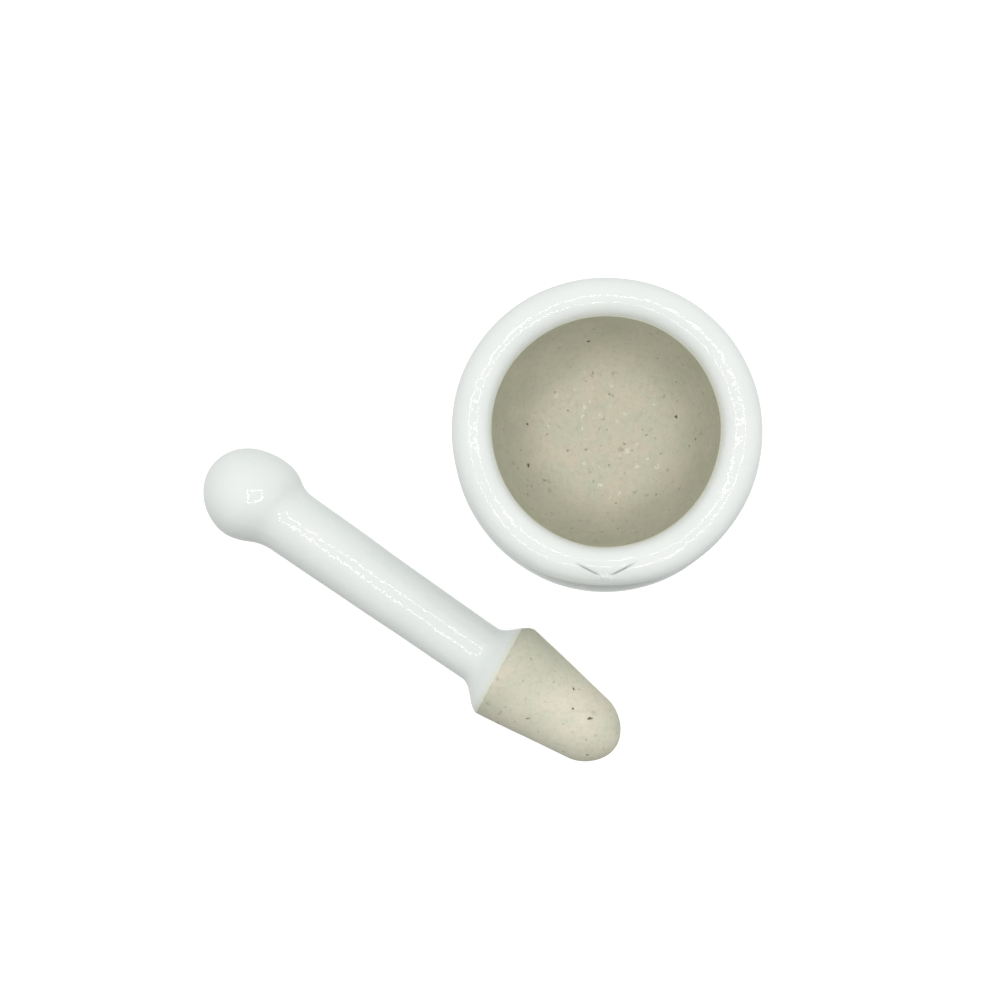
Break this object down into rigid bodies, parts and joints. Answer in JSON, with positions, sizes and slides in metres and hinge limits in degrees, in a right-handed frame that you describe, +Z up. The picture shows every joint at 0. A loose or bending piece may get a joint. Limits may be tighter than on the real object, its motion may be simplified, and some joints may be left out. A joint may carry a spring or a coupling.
{
  "type": "mortar and pestle",
  "caption": "Small thick-walled porcelain laboratory mortar with a rolled rim and a shallow pouring spout, and a ball-ended pestle lying beside it.",
  "frame": {"origin": "centre of the mortar's flat base, on the surface that the set stands on", "axes": "+Z up out of the bowl; -Y from the mortar's centre to its pouring spout; +X to the right seen from the spout's side, with the pestle lying on the -X, -Y side"},
  "size_m": [0.1102, 0.0934, 0.036],
  "materials": {
    "mortar_porcelain": "gloss",
    "pestle_porcelain": "gloss"
  },
  "bodies": {
    "mortar": {"mortar": "mortar_porcelain"},
    "pestle": {"pestle": "pestle_porcelain"}
  },
  "joints": [
    {"name": "pestle_lift", "type": "slide", "parent": "mortar", "child": "pestle", "axis": [0, 0, 1], "range_m": [0, 0.05]}
  ]
}
